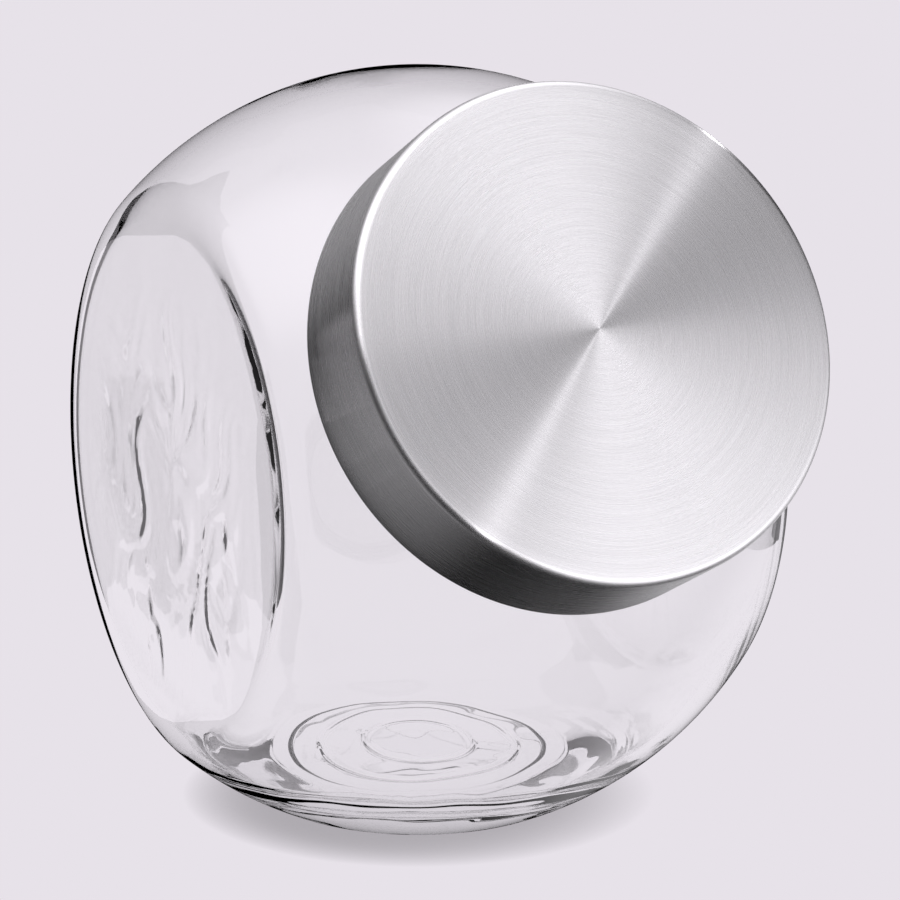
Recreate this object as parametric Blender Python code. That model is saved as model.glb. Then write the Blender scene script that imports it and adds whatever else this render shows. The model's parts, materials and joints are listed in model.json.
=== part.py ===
"""Lidded glass canister: a ball-shaped jar with two flat sides and a slanted mouth, closed by a push-on lid.

Metres, +Z up, and the mouth faces -Y. The origin is the middle of the bounding box's lowest face.
The jar's shape is drawn round the centre of its ball, and the neck and the lid round the mouth's axis,
which passes through that centre.
"""

import math

import bmesh
import bpy
from mathutils import Matrix, Vector

MM = 0.001

# Jar: a ball, cut flat on two sides and at the base.
BALL_R = 95.0 * MM
WALL = 4.0 * MM
SIDE_X = 67.0 * MM              # from the middle plane to each flat side
SIDE_WALL = 4.2 * MM
SIDE_EDGE_R = 12.0 * MM         # rounding between a flat side and the ball
BASE_DROP = 87.5 * MM           # from the ball's centre down to the surface it stands on

# Base: a ring that the jar stands on, round a hollow with two low steps, under a thick floor.
REST_RING_R = 33.0 * MM         # the ring's inner radius
HOLLOW_RISE = 3.2 * MM
HOLLOW_STEP = 0.5 * MM
HOLLOW_EASE = (75, 35)          # degrees: the part of an arc that eases the ring into the hollow
STEP_RADII = (24.0 * MM, 13.0 * MM)
FLOOR_GLASS = 13.5 * MM
FLOOR_RISE = 3.0 * MM           # how far the floor's middle is pushed up
FLOOR_COVE_R = 25.0 * MM

# Neck, along the mouth's axis, with heights measured from the ball's centre.
MOUTH_TILT = math.radians(27.0)  # how far the mouth's axis rises above level
NECK_R = 54.5 * MM
BORE_R = 49.5 * MM
BEAD_R = 56.3 * MM
RIM_HEIGHT = 101.5 * MM
BEAD_DEPTH = 6.5 * MM
SHOULDER_R = 3.0 * MM
THROAT_R = 4.0 * MM
RIM_ROUND = 2.4 * MM
RIM_CUT_END = 100               # degrees: the bore's rounding stops just short of the rim's flat top

# Lid, along the same axis, with heights measured from the rim of the glass.
GAP = 0.3 * MM                  # clearance between neighbouring pieces
LID_R = 59.1 * MM
LID_TOP = 2.5 * MM
SKIRT = 28.5 * MM
SHEET = 0.5 * MM
LID_CORNER_R = 1.8 * MM
HEM = 1.0 * MM                  # thickness of the folded lower edge
HEM_DEPTH = 3.5 * MM

# Plastic insert and its gasket.
DISC = 1.4 * MM
PLUG_R = 48.3 * MM
PLUG_INNER_R = 45.2 * MM
PLUG_DEPTH = 13.7 * MM
PLUG_LEAD = 1.2 * MM            # taper at the tip of the ring wall
GROOVE_TOP = 5.8 * MM
GROOVE_WIDTH = 3.8 * MM
GROOVE_R = 46.6 * MM
LIP_R = BORE_R - GAP
LIP = 0.4 * MM                  # thickness of each lip's edge

# Fineness of the turned shapes.
STEPS = 48                      # flats round each of them
FILLET_STEPS = 4                # straight lines in a small rounding
BARREL_STEPS = 12               # straight lines in the ball, from one flat side to the other
SHARP_ANGLE = math.radians(30)
WELD = 0.001 * MM

# How far a shape that is set into the ball's wall runs into it, so that the surfaces cross cleanly.
SUNK = 0.25 * MM

# The lid's lowest corner reaches furthest forward, and the ball furthest back.
CORNER_HEIGHT = RIM_HEIGHT + LID_TOP - LID_CORNER_R
CORNER_REACH = CORNER_HEIGHT * math.cos(MOUTH_TILT) + (LID_R - LID_CORNER_R) * math.sin(MOUTH_TILT)
BALL_CENTRE = Vector((0.0, (CORNER_REACH + LID_CORNER_R - BALL_R) / 2, BASE_DROP))

# Base colour, roughness, metallic, transmission.
MATERIALS = {
    "clear_glass": ((0.96, 0.97, 0.97), 0.02, 0.0, 1.0),
    "brushed_metal": ((0.66, 0.66, 0.67), 0.30, 1.0, 0.0),
    "white_plastic": ((0.90, 0.90, 0.89), 0.40, 0.0, 0.0),
    "soft_silicone": ((0.82, 0.83, 0.83), 0.55, 0.0, 0.0),
}


def clear_scene():
    for obj in list(bpy.data.objects):
        bpy.data.objects.remove(obj)


def make_material(name):
    colour, roughness, metallic, transmission = MATERIALS[name]
    material = bpy.data.materials.new(name)
    material.use_nodes = True
    shader = material.node_tree.nodes["Principled BSDF"]
    shader.inputs["Base Color"].default_value = (*colour, 1.0)
    shader.inputs["Roughness"].default_value = roughness
    shader.inputs["Metallic"].default_value = metallic
    shader.inputs["Transmission Weight"].default_value = transmission
    return material


def arc(centre, radius, start, end, steps):
    """Points of an arc in the (radius, height) plane, from one angle to another in degrees."""
    points = []
    for i in range(steps + 1):
        angle = math.radians(start + (end - start) * i / steps)
        points.append((centre[0] + radius * math.cos(angle), centre[1] + radius * math.sin(angle)))
    return points


def turned(name, profile, closed=False):
    """Spin a (radius, height) profile round local Z. An open profile starts and ends on the axis."""
    mesh = bpy.data.meshes.new(name)
    bm = bmesh.new()
    verts = [bm.verts.new((radius, 0.0, height)) for radius, height in profile]
    edges = [bm.edges.new(pair) for pair in zip(verts, verts[1:])]
    if closed:
        edges.append(bm.edges.new((verts[-1], verts[0])))
    bmesh.ops.spin(bm, geom=verts + edges, axis=(0, 0, 1), cent=(0, 0, 0),
                   angle=math.tau, steps=STEPS, use_merge=True)
    bmesh.ops.remove_doubles(bm, verts=bm.verts, dist=WELD)
    bmesh.ops.recalc_face_normals(bm, faces=bm.faces)
    bm.to_mesh(mesh)
    bm.free()
    mesh.shade_smooth()
    mesh.set_sharp_from_angle(angle=SHARP_ANGLE)
    obj = bpy.data.objects.new(name, mesh)
    bpy.context.scene.collection.objects.link(obj)
    return obj


def combine(target, other, operation):
    """Add or remove another shape, which stays in the file as a guide."""
    modifier = target.modifiers.new(other.name, 'BOOLEAN')
    modifier.operation = operation
    modifier.solver = 'EXACT'
    modifier.object = other
    other.hide_render = True
    other.display_type = 'WIRE'


def axis_empty(name, location, rotation):
    empty = bpy.data.objects.new(name, None)
    empty.matrix_world = Matrix.LocRotScale(location, rotation, None)
    bpy.context.scene.collection.objects.link(empty)
    return empty


def barrel(name, ball_r, side, edge_r):
    """A ball cut flat on both sides, turned round X, with rounded edges to the flats."""
    edge_height = side - edge_r
    edge_centre = (math.sqrt((ball_r - edge_r) ** 2 - edge_height ** 2), edge_height)
    turn = math.degrees(math.atan2(edge_height, edge_centre[0]))
    upper = [(0.0, side)]
    upper += arc(edge_centre, edge_r, 90, turn, FILLET_STEPS)
    ball = arc((0.0, 0.0), ball_r, turn, -turn, BARREL_STEPS)
    lower = [(radius, -height) for radius, height in reversed(upper)]
    obj = turned(name, upper[:-1] + ball + lower[1:])
    obj.data.transform(Matrix.Rotation(math.radians(90), 4, 'Y'))
    return obj


def base_hollow():
    """Everything to be removed below the base: the ball's lowest cap and the stepped hollow."""
    rise = HOLLOW_RISE - HOLLOW_STEP * len(STEP_RADII)
    start = -BASE_DROP + rise
    slope_r = 2 * rise
    below_ball = -BALL_R - WALL
    profile = [(0.0, start + HOLLOW_STEP * 2)]
    profile.append((STEP_RADII[1], start + HOLLOW_STEP * 2))
    profile.append((STEP_RADII[1] + HOLLOW_STEP, start + HOLLOW_STEP))
    profile.append((STEP_RADII[0], start + HOLLOW_STEP))
    profile.append((STEP_RADII[0] + HOLLOW_STEP, start))
    profile.append((REST_RING_R - slope_r, start))
    profile += arc((REST_RING_R - slope_r, start - slope_r), slope_r, *HOLLOW_EASE, FILLET_STEPS)
    profile.append((REST_RING_R, -BASE_DROP))
    profile.append((BALL_R, -BASE_DROP))
    profile.append((BALL_R, below_ball))
    profile.append((0.0, below_ball))
    return turned("base_hollow", profile)


def floor_fill():
    """The glass that fills the bottom of the inside: a pushed-up middle and a coved edge."""
    top = -BASE_DROP + FLOOR_GLASS
    inner_r = BALL_R - WALL
    cove_height = top + FLOOR_COVE_R
    cove_r = math.sqrt((inner_r - FLOOR_COVE_R) ** 2 - cove_height ** 2)
    turn = math.degrees(math.atan2(cove_height, cove_r))
    dome_r = REST_RING_R
    dome_ball = (dome_r ** 2 + FLOOR_RISE ** 2) / (2 * FLOOR_RISE)
    dome_turn = math.degrees(math.asin(dome_r / dome_ball))
    profile = [(0.0, -BALL_R)]
    profile.append((inner_r, -BALL_R))
    profile += arc((cove_r + SUNK, cove_height), FLOOR_COVE_R, turn, -90, 2 * FILLET_STEPS)
    dome = arc((0.0, top + FLOOR_RISE - dome_ball), dome_ball, 90 - dome_turn, 90, 2 * FILLET_STEPS)
    return turned("floor_fill", profile + dome[:-1] + [(0.0, top + FLOOR_RISE)])


def neck_collar():
    """The neck's outside, from inside the ball up to the rounded rim."""
    centre_r = NECK_R + SHOULDER_R
    centre_h = math.sqrt((BALL_R + SHOULDER_R) ** 2 - centre_r ** 2)
    turn = math.degrees(math.atan2(centre_h, centre_r))
    start_h = BALL_R / 2
    under_bead = RIM_HEIGHT - BEAD_DEPTH
    profile = [(0.0, start_h)]
    profile.append((NECK_R, start_h))
    profile += arc((centre_r, centre_h - SUNK), SHOULDER_R, 180 + turn, 180, FILLET_STEPS)
    profile.append((NECK_R, under_bead - (BEAD_R - NECK_R)))
    profile.append((BEAD_R, under_bead + (BEAD_R - NECK_R) / 2))
    profile += arc((BEAD_R - RIM_ROUND, RIM_HEIGHT - RIM_ROUND), RIM_ROUND, 0, 90, FILLET_STEPS)
    profile.append((0.0, RIM_HEIGHT))
    return turned("neck_collar", profile)


def neck_bore():
    """The mouth's bore, eased into the inside of the ball and rounded over at the rim."""
    inner_r = BALL_R - WALL
    centre_r = BORE_R + THROAT_R
    centre_h = math.sqrt((inner_r + THROAT_R) ** 2 - centre_r ** 2)
    turn = math.degrees(math.atan2(centre_h, centre_r))
    lip_centre = (BORE_R + RIM_ROUND, RIM_HEIGHT - RIM_ROUND)
    profile = [(0.0, BALL_R / 2)]
    profile.append((BORE_R, BALL_R / 2))
    profile += arc((centre_r, centre_h - SUNK), THROAT_R, 180 + turn, 180, FILLET_STEPS)
    profile += arc(lip_centre, RIM_ROUND, 180, RIM_CUT_END, FILLET_STEPS)
    profile.append((lip_centre[0], RIM_HEIGHT + RIM_ROUND))
    profile.append((0.0, RIM_HEIGHT + RIM_ROUND))
    return turned("neck_bore", profile)


def make_glass_jar(ball_axis, mouth_axis):
    jar = barrel("glass_jar", BALL_R, SIDE_X, SIDE_EDGE_R)
    inside = barrel("inside", BALL_R - WALL, SIDE_X - SIDE_WALL, SIDE_EDGE_R - WALL / 2)
    fill = floor_fill()
    hollow = base_hollow()
    collar = neck_collar()
    bore = neck_bore()
    for obj in (jar, inside, fill, hollow):
        obj.parent = ball_axis
    for obj in (collar, bore):
        obj.data.transform(Matrix.Translation((0.0, 0.0, -RIM_HEIGHT)))
        obj.parent = mouth_axis
    combine(inside, fill, 'DIFFERENCE')
    combine(jar, collar, 'UNION')
    combine(jar, hollow, 'DIFFERENCE')
    combine(jar, inside, 'DIFFERENCE')
    combine(jar, bore, 'DIFFERENCE')
    inside.hide_render = True
    inside.display_type = 'WIRE'
    jar.data.materials.append(make_material("clear_glass"))


def make_lid_shell(mouth_axis):
    """Drawn cap: flat face, rounded corner, straight skirt, lower edge folded to the inside."""
    corner = LID_R - LID_CORNER_R
    bottom = LID_TOP - SKIRT
    inner_r = LID_R - SHEET
    hem_r = HEM / 2
    profile = [(0.0, LID_TOP)]
    profile += arc((corner, LID_TOP - LID_CORNER_R), LID_CORNER_R, 90, 0, FILLET_STEPS)
    profile += arc((LID_R - hem_r, bottom + hem_r), hem_r, 0, -180, FILLET_STEPS)
    profile.append((LID_R - HEM, bottom + HEM_DEPTH))
    profile.append((inner_r, bottom + HEM_DEPTH + SHEET))
    profile += arc((corner, LID_TOP - LID_CORNER_R), LID_CORNER_R - SHEET, 0, 90, FILLET_STEPS)
    profile.append((0.0, LID_TOP - SHEET))
    shell = turned("lid_shell", profile)
    shell.parent = mouth_axis
    shell.data.materials.append(make_material("brushed_metal"))


def make_lid_liner(mouth_axis):
    """Plastic insert: a disc over the rim, and a ring wall with a groove that goes into the bore."""
    top = LID_TOP - SHEET - GAP
    under = top - DISC
    edge_r = LID_R - SHEET - GAP
    corner = LID_CORNER_R - SHEET
    tip = -PLUG_DEPTH
    profile = [(0.0, top)]
    profile += arc((edge_r - corner, top - corner), corner, 90, 0, FILLET_STEPS)
    profile.append((edge_r, under))
    profile.append((PLUG_R, under))
    profile.append((PLUG_R, -GROOVE_TOP))
    profile.append((GROOVE_R, -GROOVE_TOP))
    profile.append((GROOVE_R, -GROOVE_TOP - GROOVE_WIDTH))
    profile.append((PLUG_R, -GROOVE_TOP - GROOVE_WIDTH))
    profile.append((PLUG_R, tip + PLUG_LEAD))
    profile.append((PLUG_R - PLUG_LEAD, tip))
    profile.append((PLUG_INNER_R, tip))
    profile.append((PLUG_INNER_R, under - DISC))
    profile.append((PLUG_INNER_R - DISC, under))
    profile.append((0.0, under))
    liner = turned("lid_liner", profile)
    liner.parent = mouth_axis
    liner.data.materials.append(make_material("white_plastic"))


def make_lid_gasket(mouth_axis):
    """Soft ring that fills the groove, with two lips against the bore."""
    inner_r = GROOVE_R + GAP
    top = -GROOVE_TOP - GAP
    bottom = -GROOVE_TOP - GROOVE_WIDTH + GAP
    middle = (top + bottom) / 2
    profile = [(inner_r, bottom), (inner_r, top)]
    profile.append((PLUG_R, top))
    profile.append((LIP_R, top - LIP))
    profile.append((LIP_R, top - 2 * LIP))
    profile.append((PLUG_R, middle))
    profile.append((LIP_R, bottom + 2 * LIP))
    profile.append((LIP_R, bottom + LIP))
    profile.append((PLUG_R, bottom))
    gasket = turned("lid_gasket", profile, closed=True)
    gasket.parent = mouth_axis
    gasket.data.materials.append(make_material("soft_silicone"))


def main():
    clear_scene()
    mouth_turn = Matrix.Rotation(math.pi / 2 - MOUTH_TILT, 3, 'X')
    mouth_centre = BALL_CENTRE + mouth_turn @ Vector((0.0, 0.0, RIM_HEIGHT))
    ball_axis = axis_empty("ball_axis", BALL_CENTRE, None)
    mouth_axis = axis_empty("mouth_axis", mouth_centre, mouth_turn.to_quaternion())
    make_glass_jar(ball_axis, mouth_axis)
    make_lid_shell(mouth_axis)
    make_lid_liner(mouth_axis)
    make_lid_gasket(mouth_axis)


main()
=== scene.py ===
"""Looks of the lidded glass canister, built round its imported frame: jar, lid, liner, gasket and studio."""

import json
import math

import bmesh
import bpy
import numpy as np
from mathutils import Matrix, Vector, noise
from mathutils.geometry import delaunay_2d_cdt


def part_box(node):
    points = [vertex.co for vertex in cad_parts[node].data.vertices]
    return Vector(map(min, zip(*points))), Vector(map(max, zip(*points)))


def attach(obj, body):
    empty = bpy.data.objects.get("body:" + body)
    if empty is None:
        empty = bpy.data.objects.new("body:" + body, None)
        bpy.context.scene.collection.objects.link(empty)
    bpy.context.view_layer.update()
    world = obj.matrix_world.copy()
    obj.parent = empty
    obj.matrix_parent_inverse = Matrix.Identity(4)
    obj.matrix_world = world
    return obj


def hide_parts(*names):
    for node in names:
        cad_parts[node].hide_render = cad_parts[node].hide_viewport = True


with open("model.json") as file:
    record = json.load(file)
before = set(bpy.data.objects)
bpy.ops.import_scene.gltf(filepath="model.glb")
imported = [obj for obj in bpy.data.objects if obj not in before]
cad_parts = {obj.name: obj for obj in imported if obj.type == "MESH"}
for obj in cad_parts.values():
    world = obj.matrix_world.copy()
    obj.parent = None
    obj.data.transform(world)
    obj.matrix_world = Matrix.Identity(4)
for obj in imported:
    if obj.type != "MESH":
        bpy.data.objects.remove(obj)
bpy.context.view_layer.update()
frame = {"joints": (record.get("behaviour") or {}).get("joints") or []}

MM = 0.001

# Driving dimensions that the frame's boxes don't give.
BALL_R = 95.0 * MM
BASE_DROP = 87.5 * MM           # ball's centre above the surface the jar stands on
WALL = 4.0 * MM
SIDE_WALL = 4.2 * MM
SIDE_EDGE_R = 12.0 * MM
REST_RING_R = 33.0 * MM
HEEL_R = 6.0 * MM
FLOOR_GLASS = 13.5 * MM
FLOOR_RISE = 3.0 * MM
FLOOR_COVE_R = 25.0 * MM
HOLLOW_RISE = 2.2 * MM          # the hollow under the foot, and how much of its rise is lost at its edge
HOLLOW_EASE = 0.35
STEP_RINGS = ((24.0 * MM, 0.55 * MM), (13.0 * MM, 0.5 * MM))  # radius and depth of each ring in the hollow
STEP_WIDTH = 0.9 * MM
NECK_R = 54.5 * MM
BORE_R = 49.5 * MM
BEAD_R = 56.3 * MM
BEAD_DEPTH = 6.5 * MM
RIM_HEIGHT = 101.5 * MM
RIM_ROUND = 2.4 * MM
SHOULDER_R = 3.0 * MM
THROAT_R = 4.0 * MM
LID_TOP = 2.5 * MM              # lid heights are measured from the glass rim
SKIRT = 28.5 * MM
SHEET = 0.5 * MM
LID_CORNER_R = 1.8 * MM
INSERT_CORNER_R = 0.8 * MM
INSERT_EDGE_R = 0.5 * MM
HEM = 1.0 * MM
HEM_DEPTH = 3.5 * MM
GAP = 0.3 * MM
DISC = 1.4 * MM
PLUG_R = 48.3 * MM
PLUG_INNER_R = 45.2 * MM
PLUG_DEPTH = 13.7 * MM
GROOVE_TOP = 5.8 * MM
GROOVE_WIDTH = 3.8 * MM
GROOVE_R = 46.6 * MM
LIP_R = BORE_R - GAP

# Places worked out from the frame.
jar_low, jar_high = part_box("glass_jar")
lid_low, lid_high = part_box("lid_shell")
SIDE_X = jar_high.x
LID_R = lid_high.x
BALL = Vector((0.0, jar_high.y - BALL_R, jar_low.z + BASE_DROP))
MOUTH = Vector(frame["joints"][0]["axis"]).normalized()
UP = Vector((0.0, 0.0, 1.0))
MOUTH_TURN = UP.rotation_difference(MOUTH).to_matrix()
RIM_CENTRE = BALL + MOUTH * RIM_HEIGHT
LID_PLACE = Matrix.Translation(RIM_CENTRE) @ MOUTH_TURN.to_4x4()

# Fineness of the meshes.
ROUND = 256                     # divisions round the jar's ball
LATHE = 192                     # divisions round the neck and the lid
FINE = 2.2 * MM                 # spacing of the ball's rings
FLAT_RINGS = 40                 # rings in a flat side, where the glass is wavy
HOLLOW_RINGS = 60
FLOOR_RINGS = 30
ROUNDING = 10                   # steps in a rounded edge, and in a small one
SMALL_ROUNDING = 8
NEAR_HOLE = 66.0 * MM           # a hole's edge lies within this distance of the hole's axis
HOLE_MARGIN = math.radians(1.3)  # how much wider a hole is than the shape that is stitched into it

# Unevenness of the blown glass: scale of the noise per metre, and its depth.
SLOW_WAVES = (26.0, 0.28 * MM)
QUICK_WAVES = (75.0, 0.05 * MM)
FOOT_WAVES = (85.0, 0.32 * MM)
STEADY_EDGE = 3.0 * MM          # the foot's ring stays even, and the hollow this far inside it

# Upright streaks in the inner skin of each flat side, below its middle.
STREAK_DEPTH = 0.5 * MM
STREAK_SIDE = 58.0 * MM         # how far from the middle plane the skin counts as flat side
STREAK_R = 56.0 * MM            # where they end, over what width they fade, and how far they are set down
STREAK_FADE = 22.0 * MM
STREAK_DROP = 8.0 * MM
STREAKS_ACROSS = 100.0          # scale of their noise per metre: across, upright, and how much they lean
STREAKS_UPRIGHT = 30.0
STREAKS_LEAN = 26.0
STREAK_WARP = (42.0, 1.6)       # scale per metre and strength of the wave that bends them


def arc(centre, radius, start, end, steps):
    """Points of an arc in the (radius, height) plane, from one angle to another in degrees."""
    angles = np.radians(np.linspace(start, end, steps + 1))
    return [(centre[0] + radius * math.cos(a), centre[1] + radius * math.sin(a)) for a in angles]


def line(start, end, steps):
    """Points after start, up to and with end."""
    return [(start[0] + (end[0] - start[0]) * i / steps, start[1] + (end[1] - start[1]) * i / steps)
            for i in range(1, steps + 1)]


def spin_into(bm, profile, matrix, steps, closed=False):
    """Turn a (radius, height) profile round local Z into bm. Points on the axis become one vertex."""
    rings = []
    for radius, height in profile:
        if radius < 1e-7:
            rings.append([bm.verts.new(matrix @ Vector((0.0, 0.0, height)))])
            continue
        ring = []
        for i in range(steps):
            angle = math.tau * i / steps
            point = Vector((radius * math.cos(angle), radius * math.sin(angle), height))
            ring.append(bm.verts.new(matrix @ point))
        rings.append(ring)
    pairs = list(zip(rings, rings[1:]))
    if closed:
        pairs.append((rings[-1], rings[0]))
    for low, high in pairs:
        for i in range(steps):
            j = (i + 1) % steps
            corners = [low[i % len(low)], low[j % len(low)], high[j % len(high)], high[i % len(high)]]
            bm.faces.new(list(dict.fromkeys(corners)))
    return rings


def to_object(name, bm):
    """Make a linked object from bm, which is freed."""
    mesh = bpy.data.meshes.new(name)
    bm.to_mesh(mesh)
    bm.free()
    obj = bpy.data.objects.new(name, mesh)
    bpy.context.scene.collection.objects.link(obj)
    return obj


def smooth_piece(name, bm, material, sharp=None):
    """Make a smooth-shaded piece, with sharp edges above an angle in degrees if one is given."""
    bmesh.ops.recalc_face_normals(bm, faces=bm.faces)
    piece = to_object(name, bm)
    piece.data.shade_smooth()
    if sharp:
        piece.data.set_sharp_from_angle(angle=math.radians(sharp))
    piece.data.materials.append(material)
    return piece


# ---------------------------------------------------------------- jar

def barrel_into(bm, ball_r, side, edge_r):
    """A ball cut flat on both sides, turned round X, with rounded edges to the flats."""
    edge_height = side - edge_r
    edge_r_centre = math.sqrt((ball_r - edge_r) ** 2 - edge_height ** 2)
    turn = math.degrees(math.atan2(edge_height, edge_r_centre))
    flat = [(0.0, side)] + line((0.0, side), (edge_r_centre, side), FLAT_RINGS)
    fillet = arc((edge_r_centre, edge_height), edge_r, 90, turn, ROUNDING)
    ball_steps = int(round(math.radians(2 * turn) * ball_r / FINE))
    ball = arc((0.0, 0.0), ball_r, turn, -turn, ball_steps)
    upper = flat[:-1] + fillet
    lower = [(radius, -height) for radius, height in reversed(upper)]
    spin_into(bm, upper[:-1] + ball + lower[1:], Matrix.Rotation(math.pi / 2, 4, 'Y'), ROUND)


def open_hole(bm, axis, angle):
    """Remove the ball's surface within an angle of an axis through its centre."""
    limit = math.cos(angle)
    doomed = [v for v in bm.verts if v.co.length > 0 and v.co.normalized().dot(axis) > limit]
    bmesh.ops.delete(bm, geom=doomed, context='VERTS')


def stitch(bm, ring, axis, hole_verts):
    """Close the narrow gap between a ring and the hole round it in a skin, as seen along the axis."""
    members = set(ring)
    nearby = {v for v in hole_verts if v.co.dot(axis) > 0}
    edges = [e for e in bm.edges if e.is_boundary and nearby.issuperset(e.verts)]
    edges = [e for e in edges if (e.verts[0].co - axis * e.verts[0].co.dot(axis)).length < NEAR_HOLE]
    verts = ring + list(dict.fromkeys(v for e in edges for v in e.verts))
    place = {v: i for i, v in enumerate(verts)}
    across = axis.orthogonal().normalized()
    along = axis.cross(across)
    flat = [Vector((v.co.dot(across), v.co.dot(along))) for v in verts]
    bounds = [(place[e.verts[0]], place[e.verts[1]]) for e in edges]
    bounds += [(i, (i + 1) % len(ring)) for i in range(len(ring))]
    faces = delaunay_2d_cdt(flat, bounds, [], 1, 1e-9)[2]
    for face in faces:
        corners = [verts[i] for i in face]
        if not members.issuperset(corners):
            bm.faces.new(corners)


def skin(ball_r, side, edge_r, holes):
    """One skin of the jar's wall, round the origin, with a hole for each (axis, angle)."""
    bm = bmesh.new()
    barrel_into(bm, ball_r, side, edge_r)
    for axis, angle in holes:
        open_hole(bm, axis, angle)
    return bm


def neck_profile():
    """From the ball's outside, over the neck, bead and rim, down the bore to the ball's inside."""
    outer_r = NECK_R + SHOULDER_R
    outer_h = math.sqrt((BALL_R + SHOULDER_R) ** 2 - outer_r ** 2)
    outer_turn = math.degrees(math.atan2(outer_h, outer_r))
    inner_r = BORE_R + THROAT_R
    inner_h = math.sqrt((BALL_R - WALL + THROAT_R) ** 2 - inner_r ** 2)
    inner_turn = math.degrees(math.atan2(inner_h, inner_r))
    swell = BEAD_R - NECK_R
    bead_low = RIM_HEIGHT - BEAD_DEPTH
    swell_low = bead_low - 2 * swell
    profile = arc((outer_r, outer_h), SHOULDER_R, 180 + outer_turn, 180, SMALL_ROUNDING)
    profile += line(profile[-1], (NECK_R, swell_low), 5)
    for i in range(1, SMALL_ROUNDING + 1):
        share = (1 - math.cos(math.pi * i / SMALL_ROUNDING)) / 2
        profile.append((NECK_R + swell * share, swell_low + 3 * swell * i / SMALL_ROUNDING))
    profile += arc((BEAD_R - RIM_ROUND, RIM_HEIGHT - RIM_ROUND), RIM_ROUND, 0, 90, ROUNDING)
    profile += arc((BORE_R + RIM_ROUND, RIM_HEIGHT - RIM_ROUND), RIM_ROUND, 90, 180, ROUNDING)
    profile += line(profile[-1], (BORE_R, inner_h), 8)
    profile += arc((inner_r, inner_h), THROAT_R, 180, 180 + inner_turn, SMALL_ROUNDING)[1:]
    return profile


def base_profile():
    """From the ball's outside, round the heel and rest ring, over the hollow to its middle."""
    heel_h = -BASE_DROP + HEEL_R
    heel_r = math.sqrt((BALL_R - HEEL_R) ** 2 - heel_h ** 2)
    turn = math.degrees(math.atan2(heel_h, heel_r))
    profile = arc((heel_r, heel_h), HEEL_R, turn, -90, SMALL_ROUNDING)
    profile += line(profile[-1], (REST_RING_R, -BASE_DROP), 2)
    profile += arc((REST_RING_R, -BASE_DROP + HOLLOW_RISE / 2), HOLLOW_RISE / 2, -90, -180, 5)[1:]
    start = profile[-1][0]
    for i in range(1, HOLLOW_RINGS + 1):
        radius = start * (1 - i / HOLLOW_RINGS)
        rise = HOLLOW_RISE * (1 - HOLLOW_EASE * (radius / start) ** 6)
        for ring_r, depth in STEP_RINGS:
            rise -= depth * math.exp(-((radius - ring_r) / STEP_WIDTH) ** 2)
        profile.append((radius, -BASE_DROP + rise))
    return profile


def floor_profile():
    """From the ball's inside, down the cove and over the pushed-up floor to its middle."""
    top = -BASE_DROP + FLOOR_GLASS
    cove_h = top + FLOOR_COVE_R
    cove_r = math.sqrt((BALL_R - WALL - FLOOR_COVE_R) ** 2 - cove_h ** 2)
    turn = math.degrees(math.atan2(cove_h, cove_r))
    profile = arc((cove_r, cove_h), FLOOR_COVE_R, turn, -90, 12)
    for i in range(1, FLOOR_RINGS + 1):
        radius = cove_r * (1 - i / FLOOR_RINGS)
        share = (1 + math.cos(math.pi * radius / cove_r)) / 2
        profile.append((radius, top + FLOOR_RISE * share))
    return profile


def hole_angle(end):
    """Half the angle of the hole, seen from the ball's centre, that a shape ending at this point needs."""
    return math.atan2(end[0], abs(end[1])) + HOLE_MARGIN


def make_jar(material):
    """Outer and inner skin, joined by the neck and closed below by the foot and the floor."""
    neck = neck_profile()
    base = base_profile()
    floor = floor_profile()
    bm = skin(BALL_R, SIDE_X, SIDE_EDGE_R,
              [(MOUTH, hole_angle(neck[0])), (-UP, hole_angle(base[0]))])
    inner = skin(BALL_R - WALL, SIDE_X - SIDE_WALL, SIDE_EDGE_R - WALL / 2,
                 [(MOUTH, hole_angle(neck[-1])), (-UP, hole_angle(floor[0]))])
    turn = MOUTH_TURN.to_4x4()
    outer_verts = list(bm.verts)
    foot_rings = spin_into(bm, base, Matrix.Identity(4), LATHE)
    neck_rings = spin_into(bm, neck, turn, LATHE)
    stitch(bm, foot_rings[0], -UP, outer_verts)
    stitch(bm, neck_rings[0], MOUTH, outer_verts)
    before = set(bm.verts)
    mesh = bpy.data.meshes.new("inner")
    inner.to_mesh(mesh)
    inner.free()
    bm.from_mesh(mesh)
    inner_verts = [v for v in bm.verts if v not in before]
    floor_rings = spin_into(bm, floor, Matrix.Identity(4), LATHE)
    stitch(bm, floor_rings[0], -UP, inner_verts)
    stitch(bm, neck_rings[-1], MOUTH, inner_verts)
    ripple(inner_verts)
    ripple_foot(foot_rings + floor_rings)
    for v in bm.verts:
        v.co += BALL
    return smooth_piece("jar_glass", bm, material)


def ripple(verts):
    """Blown glass is thicker in some places than in others: move the inner skin slightly."""
    for v in verts:
        direction = v.co.normalized()
        slow = noise.noise(v.co * SLOW_WAVES[0] + Vector((3.1, 7.7, 1.9)))
        quick = noise.noise(v.co * QUICK_WAVES[0] + Vector((9.2, 0.4, 5.5)))
        v.co += direction * (SLOW_WAVES[1] * slow + QUICK_WAVES[1] * quick)
        from_middle = math.hypot(v.co.y, v.co.z + STREAK_DROP)
        fade = min(1.0, max(0.0, (STREAK_R - from_middle) / STREAK_FADE))
        if abs(v.co.x) > STREAK_SIDE and fade > 0.0:
            v.co.x += math.copysign(STREAK_DEPTH * streak(v.co) * fade, v.co.x)


def streak(point):
    """Height of the streaks at a point: a stretched noise, bent by a slower one, with a finer one on it."""
    warp = STREAK_WARP[1] * noise.noise(point * STREAK_WARP[0] + Vector((2.2, 5.1, 8.4)))
    along = point.z * STREAKS_UPRIGHT + warp
    where = Vector((point.x, point.y * STREAKS_ACROSS + point.z * STREAKS_LEAN + warp, along))
    return noise.noise(where) + 0.35 * noise.noise(where * 2.3)


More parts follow.
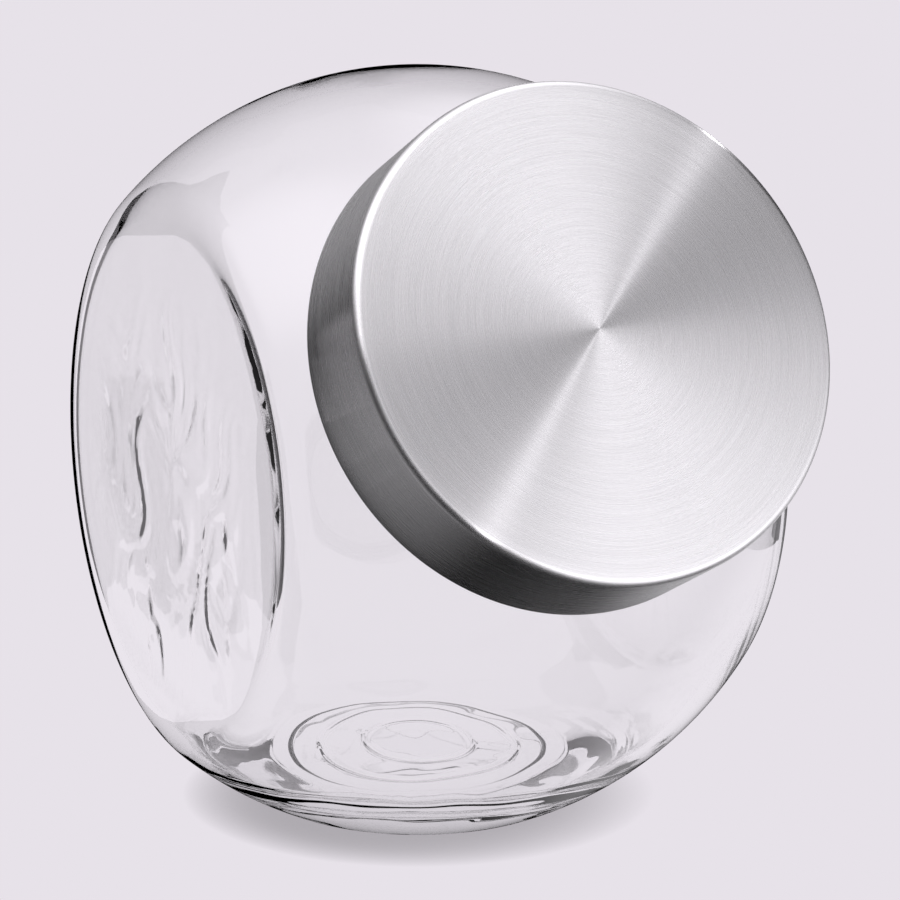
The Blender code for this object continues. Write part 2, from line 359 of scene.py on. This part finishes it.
def ripple_foot(rings):
    """The hollow under the foot and the floor inside are uneven too, but not where the jar stands."""
    for v in (v for ring in rings for v in ring):
        share = min(1.0, max(0.0, (REST_RING_R - v.co.xy.length) / STEADY_EDGE))
        if v.co.z > -BASE_DROP + FLOOR_GLASS / 2:
            share = 1.0
        v.co.z += FOOT_WAVES[1] * noise.noise(v.co * FOOT_WAVES[0] + Vector((4.4, 1.3, 6.6))) * share


# ---------------------------------------------------------------- materials

def new_material(name):
    material = bpy.data.materials.new(name)
    material.use_nodes = True
    tree = material.node_tree
    return material, tree, tree.nodes["Principled BSDF"]


def node(tree, kind, **settings):
    """A new node with some of its properties and input values set by name."""
    made = tree.nodes.new(kind)
    for key, value in settings.items():
        if hasattr(made, key):
            setattr(made, key, value)
        else:
            made.inputs[key.replace("_", " ")].default_value = value
    return made


def spread(tree, value, low, high, start=0.0, end=1.0):
    """A value that runs from low to high while another one runs from start to end."""
    ramp = node(tree, "ShaderNodeMapRange", From_Min=start, From_Max=end, To_Min=low, To_Max=high)
    tree.links.new(value, ramp.inputs["Value"])
    return ramp.outputs[0]


def two_tones(tree, value, first, second):
    """A colour that runs from the first to the second with a value."""
    tone = node(tree, "ShaderNodeMix", data_type='RGBA')
    tone.inputs["A"].default_value = (*first, 1.0)
    tone.inputs["B"].default_value = (*second, 1.0)
    tree.links.new(value, tone.inputs["Factor"])
    return tone.outputs["Result"]


def raise_surface(tree, shader, height, strength, distance):
    """Give a shader a bump of a height, in metres at full strength."""
    bump = node(tree, "ShaderNodeBump", Strength=strength, Distance=distance)
    tree.links.new(height, bump.inputs["Height"])
    tree.links.new(bump.outputs["Normal"], shader.inputs["Normal"])


def glass_material():
    """Clear soda-lime glass, faintly wavy. It dims the light that crosses it, most where it is edge-on."""
    material, tree, shader = new_material("clear_glass")
    links = tree.links
    shader.inputs["Base Color"].default_value = (0.997, 0.999, 0.998, 1.0)
    shader.inputs["Transmission Weight"].default_value = 1.0
    shader.inputs["IOR"].default_value = 1.52
    shader.inputs["Roughness"].default_value = 0.0
    coords = node(tree, "ShaderNodeTexCoord")
    waves = node(tree, "ShaderNodeTexNoise", Scale=28.0, Detail=1.5)
    links.new(coords.outputs["Object"], waves.inputs["Vector"])
    raise_surface(tree, shader, waves.outputs["Fac"], 0.06, 2.0 * MM)
    path = node(tree, "ShaderNodeLightPath")
    facing = node(tree, "ShaderNodeLayerWeight", Blend=0.35)
    clear = node(tree, "ShaderNodeBsdfTransparent")
    dim = two_tones(tree, facing.outputs["Facing"], (0.97, 0.97, 0.97), (0.45, 0.45, 0.46))
    links.new(dim, clear.inputs["Color"])
    mix = node(tree, "ShaderNodeMixShader")
    links.new(path.outputs["Is Shadow Ray"], mix.inputs[0])
    links.new(shader.outputs[0], mix.inputs[1])
    links.new(clear.outputs[0], mix.inputs[2])
    links.new(mix.outputs[0], tree.nodes["Material Output"].inputs["Surface"])
    return material


def turned_metal():
    """Stainless steel brushed in circles round the mouth's axis, on the face and on the skirt alike."""
    material, tree, shader = new_material("brushed_metal")
    links = tree.links
    shader.inputs["Metallic"].default_value = 1.0
    shader.inputs["Anisotropic"].default_value = 1.0
    shader.inputs["Anisotropic Rotation"].default_value = 0.25
    coords = node(tree, "ShaderNodeTexCoord")
    own = node(tree, "ShaderNodeMapping", vector_type='TEXTURE')
    own.inputs["Location"].default_value = RIM_CENTRE
    own.inputs["Rotation"].default_value = MOUTH_TURN.to_euler()
    links.new(coords.outputs["Object"], own.inputs["Vector"])
    split = node(tree, "ShaderNodeSeparateXYZ")
    links.new(own.outputs[0], split.inputs[0])
    flat = node(tree, "ShaderNodeCombineXYZ")
    links.new(split.outputs["X"], flat.inputs["X"])
    links.new(split.outputs["Y"], flat.inputs["Y"])
    radius = node(tree, "ShaderNodeVectorMath", operation='LENGTH')
    links.new(flat.outputs[0], radius.inputs[0])
    around = node(tree, "ShaderNodeVectorMath", operation='NORMALIZE')
    links.new(flat.outputs[0], around.inputs[0])
    travel = node(tree, "ShaderNodeMath", operation='ADD')
    links.new(radius.outputs["Value"], travel.inputs[0])
    links.new(split.outputs["Z"], travel.inputs[1])

    def strokes(per_metre, arc_turns, detail):
        """Long thin marks that follow the circles, this many per metre across them."""
        across = node(tree, "ShaderNodeMath", operation='MULTIPLY')
        across.inputs[1].default_value = per_metre
        links.new(travel.outputs[0], across.inputs[0])
        place = node(tree, "ShaderNodeVectorMath", operation='SCALE')
        place.inputs["Scale"].default_value = arc_turns
        links.new(around.outputs[0], place.inputs[0])
        parts = node(tree, "ShaderNodeSeparateXYZ")
        links.new(place.outputs[0], parts.inputs[0])
        spot = node(tree, "ShaderNodeCombineXYZ")
        links.new(parts.outputs["X"], spot.inputs["X"])
        links.new(parts.outputs["Y"], spot.inputs["Y"])
        links.new(across.outputs[0], spot.inputs["Z"])
        grain = node(tree, "ShaderNodeTexNoise", Scale=1.0, Detail=detail, Roughness=0.65)
        links.new(spot.outputs[0], grain.inputs["Vector"])
        return grain.outputs["Fac"]

    fine = strokes(4200.0, 2.2, 2.0)
    broad = strokes(1700.0, 1.6, 3.0)
    links.new(spread(tree, broad, 0.650, 0.692, 0.3, 0.7), shader.inputs["Base Color"])
    links.new(spread(tree, fine, 0.25, 0.29, 0.3, 0.7), shader.inputs["Roughness"])
    raise_surface(tree, shader, fine, 0.2, 0.1 * MM)
    outward = node(tree, "ShaderNodeVectorMath", operation='SUBTRACT')
    outward.inputs[1].default_value = RIM_CENTRE
    links.new(coords.outputs["Object"], outward.inputs[0])
    circle = node(tree, "ShaderNodeVectorMath", operation='CROSS_PRODUCT')
    circle.inputs[0].default_value = MOUTH
    links.new(outward.outputs[0], circle.inputs[1])
    tangent = node(tree, "ShaderNodeVectorTransform", vector_type='VECTOR', convert_from='OBJECT',
                   convert_to='WORLD')
    links.new(circle.outputs[0], tangent.inputs[0])
    links.new(tangent.outputs[0], shader.inputs["Tangent"])
    return material


def moulded_plastic():
    """White moulded plastic with a fine satin grain."""
    material, tree, shader = new_material("white_plastic")
    links = tree.links
    shader.inputs["Subsurface Weight"].default_value = 0.1
    shader.inputs["Subsurface Radius"].default_value = (0.004, 0.004, 0.004)
    coords = node(tree, "ShaderNodeTexCoord")
    cloud = node(tree, "ShaderNodeTexNoise", Scale=60.0, Detail=3.0)
    grain = node(tree, "ShaderNodeTexNoise", Scale=1400.0, Detail=2.0)
    for texture in (cloud, grain):
        links.new(coords.outputs["Object"], texture.inputs["Vector"])
    tone = two_tones(tree, cloud.outputs["Fac"], (0.86, 0.86, 0.85), (0.90, 0.90, 0.89))
    links.new(tone, shader.inputs["Base Color"])
    links.new(spread(tree, grain.outputs["Fac"], 0.35, 0.5), shader.inputs["Roughness"])
    raise_surface(tree, shader, grain.outputs["Fac"], 0.15, 0.1 * MM)
    return material


def soft_silicone():
    """Milky, slightly translucent silicone."""
    material, tree, shader = new_material("soft_silicone")
    links = tree.links
    shader.inputs["Subsurface Weight"].default_value = 0.3
    shader.inputs["Subsurface Radius"].default_value = (0.003, 0.003, 0.003)
    coords = node(tree, "ShaderNodeTexCoord")
    cloud = node(tree, "ShaderNodeTexNoise", Scale=180.0, Detail=3.0)
    links.new(coords.outputs["Object"], cloud.inputs["Vector"])
    tone = two_tones(tree, cloud.outputs["Fac"], (0.74, 0.75, 0.75), (0.82, 0.83, 0.83))
    links.new(tone, shader.inputs["Base Color"])
    links.new(spread(tree, cloud.outputs["Fac"], 0.5, 0.65), shader.inputs["Roughness"])
    return material


# ---------------------------------------------------------------- lid

def lid_piece(name, profile, material, closed):
    """Turn a profile round the mouth's axis, with heights measured from the rim of the glass."""
    bm = bmesh.new()
    spin_into(bm, profile, LID_PLACE, LATHE, closed)
    return smooth_piece(name, bm, material, sharp=30)


def shell_profile():
    """Drawn cap: flat face, rounded corner, straight skirt, lower edge folded to the inside."""
    corner = LID_R - LID_CORNER_R
    bottom = LID_TOP - SKIRT
    inner_r = LID_R - SHEET
    hem_r = HEM / 2
    face = [(0.0, LID_TOP)] + line((0.0, LID_TOP), (corner, LID_TOP), 24)
    profile = face[:-1] + arc((corner, LID_TOP - LID_CORNER_R), LID_CORNER_R, 90, 0, 10)
    profile += line(profile[-1], (LID_R, bottom + hem_r), 8)
    profile += arc((LID_R - hem_r, bottom + hem_r), hem_r, 0, -180, 10)[1:]
    profile.append((LID_R - HEM, bottom + HEM_DEPTH))
    profile.append((inner_r, bottom + HEM_DEPTH + SHEET))
    profile += arc((corner, LID_TOP - LID_CORNER_R), LID_CORNER_R - SHEET, 0, 90, 8)
    profile.append((0.0, LID_TOP - SHEET))
    return profile


def liner_profile():
    """Plastic insert: a disc over the rim, and a ring wall with a groove that goes into the bore."""
    top = LID_TOP - SHEET - GAP
    under = top - DISC
    edge_r = LID_R - SHEET - GAP
    corner = INSERT_CORNER_R
    tip = -PLUG_DEPTH
    soft = INSERT_EDGE_R
    wall_round = (PLUG_R - PLUG_INNER_R) / 2
    profile = [(0.0, top)] + line((0.0, top), (edge_r - corner, top), 8)[:-1]
    profile += arc((edge_r - corner, top - corner), corner, 90, 0, 6)
    profile += arc((edge_r - soft, under + soft), soft, 0, -90, 4)
    profile += arc((PLUG_R + soft, under - soft), soft, 90, 180, 4)
    profile.append((PLUG_R, -GROOVE_TOP))
    profile.append((GROOVE_R, -GROOVE_TOP))
    profile.append((GROOVE_R, -GROOVE_TOP - GROOVE_WIDTH))
    profile.append((PLUG_R, -GROOVE_TOP - GROOVE_WIDTH))
    profile += arc((PLUG_R - wall_round, tip + wall_round), wall_round, 0, -180, 12)
    profile += arc((PLUG_INNER_R - DISC, under - DISC), DISC, 0, 90, 6)
    profile.append((0.0, under))
    return profile


def gasket_profile():
    """Soft ring that fills the groove, with two rounded lips against the bore."""
    inner_r = GROOVE_R + GAP
    top = -GROOVE_TOP - GAP
    bottom = -GROOVE_TOP - GROOVE_WIDTH + GAP
    lip = (top - bottom) / 4
    reach = LIP_R - lip
    profile = [(inner_r, bottom), (inner_r, top)]
    profile += arc((reach, top - lip), lip, 80, -60, 8)
    profile += arc((reach, bottom + lip), lip, 60, -80, 8)
    return profile


# ---------------------------------------------------------------- studio

BACKGROUND = (0.7991, 0.7605, 0.8148)
FLOOR_SIZE = (16.0, 16.0)
FLOOR_DROP = 0.2 * MM
GLASS_LIFT = 1.03               # how much brighter the ground is through glass, to make up for its losses
CONTACT_REACH = 11.0 * MM       # how near the object has to be to shade the floor
CONTACT_DEPTH = 0.55            # how much it shades the floor
CONTACT_LEAN = (0.85, 0.40, 1.0)  # the shadow falls to the front left of the foot, as seen by the camera

# A black shell round the lid, just over the glass, which keeps the skirt's reflection dark.
NECK_SHADE_R = BALL_R + 0.4 * MM
NECK_SHADE_ANGLES = (52.5, 8.0)  # its upper and lower edge: degrees of latitude, with the mouth as pole
NECK_SHADE_SIDE = 63.0 * MM     # the ball ends and the rounding to a flat side begins here

# Black cards that only bent light reaches, which draw the dark edges of the glass: direction and size.
CARD_DISTANCE = 0.25
EDGE_CARDS = (
    ("edge_card_left", (-0.63, 0.78, 0.0), (0.16, 0.34)),
    ("edge_card_right", (0.98, -0.04, 0.0), (0.16, 0.34)),
)

# A pale card close behind the jar that its flat side at -X reflects towards the camera.
SIDE_CARD_DISTANCE = 0.12
SIDE_CARD_SIZE = (0.050, 0.132)
SIDE_CARD_GLOW = 1.05

# Soft lights of the room that the metal reflects: direction, cosine at which each fades out, strength.
ROOM_R = 4.0
ROOM_TINT = (1.02, 0.99, 1.04)
WIDE = 0.45
MIDDLE = 0.70
NARROW = 0.85
ROOM_LIGHTS = (
    ((-0.28, 0.14, 0.95), WIDE, 0.65),
    ((-0.17, -0.29, 0.94), MIDDLE, 0.84),
    ((-0.78, 0.36, -0.51), MIDDLE, 0.41),
    ((0.51, -0.85, -0.14), MIDDLE, 0.18),
    ((0.39, -0.91, -0.12), NARROW, 1.30),
    ((0.51, -0.85, 0.14), NARROW, 1.14),
    ((0.89, -0.45, 0.08), NARROW, 1.30),
    ((0.09, -0.88, 0.47), NARROW, 1.12),
    ((0.76, 0.32, -0.57), NARROW, 0.80),
    ((0.29, -0.22, 0.93), NARROW, 1.30),
    ((0.52, 0.28, 0.81), NARROW, 1.30),
    ((-0.56, 0.14, 0.82), NARROW, 1.30),
)

# Softboxes: name, direction, width axis, half width and half height per metre of distance, strength.
# The two strips draw the bright streaks across the lid's face.
SOFTBOX_DISTANCE = 2.0
SOFTBOXES = (
    ("softbox_left", (-0.45, -0.45, 0.77), (1.0, -1.0, 0.0), 0.22, 0.30, 2.5),
    ("strip_back", (0.78, 0.0, 0.63), (0.17, 0.95, -0.27), 0.06, 0.012, 56.0),
    ("strip_front", (-0.01, -0.99, 0.14), (0.65, 0.13, 0.75), 0.06, 0.012, 40.0),
)

# Camera: its place round the ball's centre, and the direction that it looks in.
CAMERA_AZIMUTH = math.radians(-26.0)
CAMERA_ELEVATION = math.radians(13.15)
CAMERA_DISTANCE = 0.932
LOOK_AZIMUTH = math.radians(-26.5)
LENS = 150.7


def direction(azimuth, elevation):
    """Unit vector towards a viewer at that azimuth, measured from -Y towards +X, and elevation."""
    level = math.cos(elevation)
    return Vector((math.sin(azimuth) * level, -math.cos(azimuth) * level, math.sin(elevation)))


def make_camera():
    """A long lens that looks slightly past the ball's centre."""
    data = bpy.data.cameras.new("camera")
    data.lens = LENS
    data.sensor_width = 36.0
    data.clip_start = 0.01
    camera = bpy.data.objects.new("camera", data)
    bpy.context.scene.collection.objects.link(camera)
    camera.location = BALL + CAMERA_DISTANCE * direction(CAMERA_AZIMUTH, CAMERA_ELEVATION)
    looking = -direction(LOOK_AZIMUTH, CAMERA_ELEVATION)
    camera.rotation_euler = looking.to_track_quat('-Z', 'Y').to_euler()
    bpy.context.scene.camera = camera


def plain(name, colour, strength=None):
    """A plain studio material, which only scatters light or, with a strength, gives light itself."""
    material = bpy.data.materials.new(name)
    material.use_nodes = True
    tree = material.node_tree
    tree.nodes.remove(tree.nodes["Principled BSDF"])
    kind = "ShaderNodeBsdfDiffuse" if strength is None else "ShaderNodeEmission"
    shader = tree.nodes.new(kind)
    shader.inputs["Color"].default_value = (*colour, 1.0)
    if strength is not None:
        shader.inputs["Strength"].default_value = strength
    tree.links.new(shader.outputs[0], tree.nodes["Material Output"].inputs["Surface"])
    return material


def on_stage(obj, material, seen_by):
    """Finish an object of the studio, which only the named kinds of ray see."""
    obj.data.materials.append(material)
    for kind in ("camera", "diffuse", "glossy", "transmission", "shadow"):
        setattr(obj, "visible_" + kind, kind in seen_by)


def panel(name, size, material, seen_by):
    """A flat rectangle in the studio that faces local Z."""
    bm = bmesh.new()
    width, depth = size[0] / 2, size[1] / 2
    corners = ((-width, -depth, 0), (width, -depth, 0), (width, depth, 0), (-width, depth, 0))
    bm.faces.new([bm.verts.new(corner) for corner in corners])
    obj = to_object(name, bm)
    on_stage(obj, material, seen_by)
    return obj


def shaded_floor():
    """A pale floor that glows evenly, and less where the object is close above it, as a contact shadow."""
    material = plain("floor", BACKGROUND, 1.0)
    tree = material.node_tree
    near = node(tree, "ShaderNodeAmbientOcclusion", samples=8, Distance=CONTACT_REACH)
    lean = node(tree, "ShaderNodeVectorMath", operation='NORMALIZE')
    lean.inputs[0].default_value = CONTACT_LEAN
    tree.links.new(lean.outputs[0], near.inputs["Normal"])
    glow = next(n for n in tree.nodes if n.type == 'EMISSION')
    tree.links.new(spread(tree, near.outputs["AO"], 1.0 - CONTACT_DEPTH, 1.0), glow.inputs["Strength"])
    return material


def make_floor():
    """One sheet for direct looks, which takes the shadow, and one for looks through the glass."""
    bright = plain("floor_through_glass", BACKGROUND, GLASS_LIFT)
    open_floor = panel("floor", FLOOR_SIZE, shaded_floor(), ("camera", "diffuse"))
    through = panel("floor_through_glass", FLOOR_SIZE, bright, ("transmission",))
    for sheet in (open_floor, through):
        sheet.location = (0.0, 0.0, jar_low.z - FLOOR_DROP)


def make_neck_shade():
    """The black shell: seen by shiny surfaces only, and clear for what comes from its inner side."""
    bm = bmesh.new()
    spin_into(bm, arc((0.0, 0.0), NECK_SHADE_R, *NECK_SHADE_ANGLES, 16), MOUTH_TURN.to_4x4(), 96)
    outside = [f for f in bm.faces if abs(f.calc_center_median().x) > NECK_SHADE_SIDE]
    bmesh.ops.delete(bm, geom=outside, context='FACES')
    bm.normal_update()
    for face in bm.faces:
        if face.normal.dot(face.calc_center_median()) < 0:
            face.normal_flip()
    shade = to_object("neck_shade", bm)
    shade.location = BALL
    material = plain("neck_shade", (0.0, 0.0, 0.0))
    tree = material.node_tree
    output = tree.nodes["Material Output"]
    black = output.inputs["Surface"].links[0].from_node
    side = node(tree, "ShaderNodeNewGeometry")
    clear = node(tree, "ShaderNodeBsdfTransparent")
    mix = node(tree, "ShaderNodeMixShader")
    tree.links.new(side.outputs["Backfacing"], mix.inputs[0])
    tree.links.new(black.outputs[0], mix.inputs[1])
    tree.links.new(clear.outputs[0], mix.inputs[2])
    tree.links.new(mix.outputs[0], output.inputs["Surface"])
    on_stage(shade, material, ("glossy",))


def face_back(card, start, away, distance):
    """Put a card at a distance from a start in one direction, upright and facing back to the start."""
    across = away.cross(UP).normalized()
    turn = Matrix((across, across.cross(away), -away)).transposed()
    card.matrix_world = Matrix.LocRotScale(start + away * distance, turn.to_quaternion(), None)


def make_edge_cards():
    """The black cards stand on the floor to the left and the right of the way that the camera looks."""
    black = plain("edge_card", (0.0, 0.0, 0.0))
    for name, towards, size in EDGE_CARDS:
        card = panel(name, size, black, ("transmission",))
        start = Vector((BALL.x, BALL.y, jar_low.z + size[1] / 2))
        face_back(card, start, Vector(towards).normalized(), CARD_DISTANCE)


def make_side_card():
    """The pale card stands where the middle of the jar's flat side at -X mirrors the camera."""
    card = panel("side_card", SIDE_CARD_SIZE, plain("side_card", BACKGROUND, SIDE_CARD_GLOW), ("glossy",))
    middle = Vector((-SIDE_X, BALL.y, BALL.z))
    looking = (middle - BALL - CAMERA_DISTANCE * direction(CAMERA_AZIMUTH, CAMERA_ELEVATION)).normalized()
    mirrored = Vector((-looking.x, looking.y, looking.z))
    face_back(card, middle, mirrored, SIDE_CARD_DISTANCE)


def make_world():
    """The same even light from all sides, as bright as the floor."""
    world = bpy.data.worlds.new("studio")
    bpy.context.scene.world = world
    world.use_nodes = True
    world.cycles.sampling_method = 'NONE'
    back = world.node_tree.nodes["Background"]
    back.inputs["Color"].default_value = (*BACKGROUND, 1.0)
    back.inputs["Strength"].default_value = 1.0


def make_reflected_room():
    """What only shiny surfaces see: a dark room with soft lights in several directions."""
    bm = bmesh.new()
    bmesh.ops.create_uvsphere(bm, u_segments=48, v_segments=24, radius=ROOM_R)
    room = to_object("reflected_room", bm)
    room.location = BALL
    material = plain("reflected_room", ROOM_TINT, 1.0)
    tree = material.node_tree
    links = tree.links
    coords = node(tree, "ShaderNodeTexCoord")
    unit = node(tree, "ShaderNodeVectorMath", operation='NORMALIZE')
    links.new(coords.outputs["Object"], unit.inputs[0])
    total = None
    for towards, edge, strength in ROOM_LIGHTS:
        dot = node(tree, "ShaderNodeVectorMath", operation='DOT_PRODUCT')
        dot.inputs[1].default_value = Vector(towards).normalized()
        links.new(unit.outputs[0], dot.inputs[0])
        ramp = node(tree, "ShaderNodeMapRange", interpolation_type='SMOOTHSTEP')
        ramp.inputs["From Min"].default_value = edge
        ramp.inputs["To Max"].default_value = strength
        links.new(dot.outputs["Value"], ramp.inputs["Value"])
        if total is None:
            total = ramp.outputs[0]
            continue
        add = node(tree, "ShaderNodeMath", operation='ADD')
        links.new(total, add.inputs[0])
        links.new(ramp.outputs[0], add.inputs[1])
        total = add.outputs[0]
    glow = next(n for n in tree.nodes if n.type == 'EMISSION')
    links.new(total, glow.inputs["Strength"])
    on_stage(room, material, ("glossy",))


def make_softboxes():
    """Lights with a clear edge, also seen by shiny surfaces only."""
    for name, towards, width_axis, half_width, half_height, strength in SOFTBOXES:
        away = Vector(towards).normalized()
        across = Vector(width_axis)
        across = (across - away * across.dot(away)).normalized()
        size = (2 * half_width * SOFTBOX_DISTANCE, 2 * half_height * SOFTBOX_DISTANCE)
        box = panel(name, size, plain(name, ROOM_TINT, strength), ("glossy",))
        turn = Matrix((across, away.cross(across), away)).transposed()
        box.matrix_world = Matrix.LocRotScale(BALL + away * SOFTBOX_DISTANCE, turn.to_quaternion(), None)


# ---------------------------------------------------------------- build

def main():
    """Light that is trapped in the thick foot ends dark there, after 8 reflections."""
    scene = bpy.context.scene
    scene.view_settings.view_transform = 'Standard'
    scene.cycles.max_bounces = 24
    scene.cycles.transmission_bounces = 20
    scene.cycles.glossy_bounces = 8
    scene.cycles.transparent_max_bounces = 20

    jar = make_jar(glass_material())
    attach(jar, "jar")
    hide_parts("glass_jar")

    pieces = (("lid_cap", shell_profile(), turned_metal(), False, "lid_shell", "brushed_metal"),
              ("lid_insert", liner_profile(), moulded_plastic(), False, "lid_liner", "white_plastic"),
              ("lid_seal", gasket_profile(), soft_silicone(), True, "lid_gasket", "soft_silicone"))
    for name, profile, material, closed, cad_node, slot in pieces:
        piece = lid_piece(name, profile, material, closed)
        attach(piece, "lid")
        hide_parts(cad_node)

    make_camera()
    make_world()
    make_floor()
    make_neck_shade()
    make_edge_cards()
    make_side_card()
    make_reflected_room()
    make_softboxes()


main()
